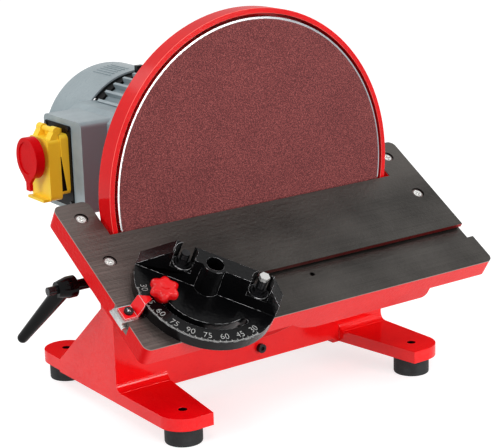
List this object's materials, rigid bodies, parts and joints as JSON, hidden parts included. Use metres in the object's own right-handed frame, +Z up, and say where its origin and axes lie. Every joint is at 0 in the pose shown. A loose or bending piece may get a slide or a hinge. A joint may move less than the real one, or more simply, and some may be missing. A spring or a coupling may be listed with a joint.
{
  "type": "benchtop disc sander",
  "caption": "Benchtop disc sander: vertical sanding disc in a round housing on a finned motor, with a tilting slotted table, mitre gauge, lock lever and covered switch on a footed cast base.",
  "frame": {"origin": "on the bench, in the middle of the four foot holes", "axes": "+X to the operator's right, +Y to the back along the motor's axis, +Z up"},
  "size_m": [0.4314, 0.4156, 0.3682],
  "materials": {
    "red_paint": "gloss red powder coat",
    "rubber": "moulded, matt",
    "black_screw": "black oxide",
    "zinc_screw": "bright zinc",
    "disc_metal": "machined, bright rim",
    "abrasive": "coated abrasive cloth, rough",
    "steel": "ground steel",
    "rotor_metal": "laminated core with cast cage",
    "black_plastic": "moulded, satin",
    "motor_grey": "grey enamel on the casting",
    "dark_metal": "dark casting",
    "core_steel": "laminated steel",
    "copper": "varnished winding",
    "grey_plastic": "moulded, satin",
    "yellow_plastic": "moulded, satin",
    "red_plastic": "moulded, gloss",
    "green_plastic": "moulded, gloss",
    "table_iron": "ground top with fine lines",
    "black_paint": "gloss black enamel on a casting",
    "pointer_red": "red painted sheet"
  },
  "bodies": {
    "machine": {"base_casting": "red_paint", "rubber_feet": "rubber", "wall_screw": "black_screw", "disc_housing": "red_paint", "housing_screws": "zinc_screw", "dust_port": "black_plastic", "front_end_shield": "motor_grey", "motor_frame": "motor_grey", "rear_end_shield": "dark_metal", "stator_core": "core_steel", "stator_windings": "copper", "front_bearing": "steel", "rear_bearing": "steel", "flange_bolts": "zinc_screw", "fan_cowl": "grey_plastic", "cowl_screws": "black_screw", "cowl_plug": "black_plastic", "switch_box": "grey_plastic", "switch_panel": "black_plastic", "panel_screws": "zinc_screw", "switch_base": "yellow_plastic", "flap_pin": "steel", "run_capacitor": "black_plastic", "cable_gland": "black_plastic", "guide_pins": "steel", "clamp_stud": "black_screw", "trunnion_washers": "zinc_screw", "clamp_bolt": "black_screw", "clamp_nut": "zinc_screw"},
    "rotor": {"sanding_disc": "disc_metal", "abrasive_sheet": "abrasive", "disc_set_screw": "black_screw", "shaft_key": "steel", "motor_shaft": "steel", "rotor_core": "rotor_metal", "cooling_fan": "black_plastic"},
    "table": {"table": "table_iron", "left_trunnion": "red_paint", "right_trunnion": "red_paint", "table_screws": "zinc_screw"},
    "lock_lever": {"lever_bush": "black_screw", "lever_handle": "black_paint"},
    "mitre_slide": {"mitre_bar": "steel", "mitre_pointer": "pointer_red", "pointer_screw": "black_screw", "mitre_stud": "steel", "mitre_pivot_screw": "black_screw"},
    "mitre_head": {"mitre_head": "black_paint", "fence_posts": "black_screw", "fence_washers": "black_screw"},
    "mitre_knob": {"mitre_knob": "red_plastic"},
    "switch_flap": {"switch_flap": "yellow_plastic"},
    "stop_button": {"stop_button": "red_plastic"},
    "start_button": {"start_button": "green_plastic"},
    "off_button": {"off_button": "red_plastic"}
  },
  "joints": [
    {"name": "disc_spin", "type": "hinge", "parent": "machine", "child": "rotor", "pos_m": [0, -0.038, 0.2075], "axis": [0, 1, 0], "continuous": true},
    {"name": "table_tilt", "type": "hinge", "parent": "machine", "child": "table", "pos_m": [0, -0.041, 0.1835], "axis": [1, 0, 0], "range_deg": [-32, 13]},
    {"name": "lock_lever_turn", "type": "hinge", "parent": "machine", "child": "lock_lever", "pos_m": [-0.2, -0.02187, 0.13731], "axis": [1, 0, 0], "range_deg": [-45, 90]},
    {"name": "mitre_travel", "type": "slide", "parent": "table", "child": "mitre_slide", "axis": [1, 0, 0], "range_m": [-0.023, 0.257]},
    {"name": "mitre_angle", "type": "hinge", "parent": "mitre_slide", "child": "mitre_head", "pos_m": [-0.117, -0.11648, 0.13634], "axis": [0, -0.5299, 0.848], "range_deg": [-105, 15]},
    {"name": "mitre_knob_turn", "type": "hinge", "parent": "mitre_slide", "child": "mitre_knob", "pos_m": [-0.164, -0.12177, 0.14482], "axis": [0, -0.5299, 0.848], "range_deg": [-180, 180]},
    {"name": "flap_open", "type": "hinge", "parent": "machine", "child": "switch_flap", "pos_m": [-0.127, 0.132, 0.2475], "axis": [0, 1, 0], "range_deg": [0, 110]},
    {"name": "stop_press", "type": "slide", "parent": "switch_flap", "child": "stop_button", "axis": [1, 0, 0], "range_m": [0, 0.003], "stiffness_N_per_m": 400},
    {"name": "start_press", "type": "slide", "parent": "machine", "child": "start_button", "axis": [1, 0, 0], "range_m": [0, 0.003], "stiffness_N_per_m": 400},
    {"name": "off_press", "type": "slide", "parent": "machine", "child": "off_button", "axis": [1, 0, 0], "range_m": [0, 0.003], "stiffness_N_per_m": 400}
  ]
}
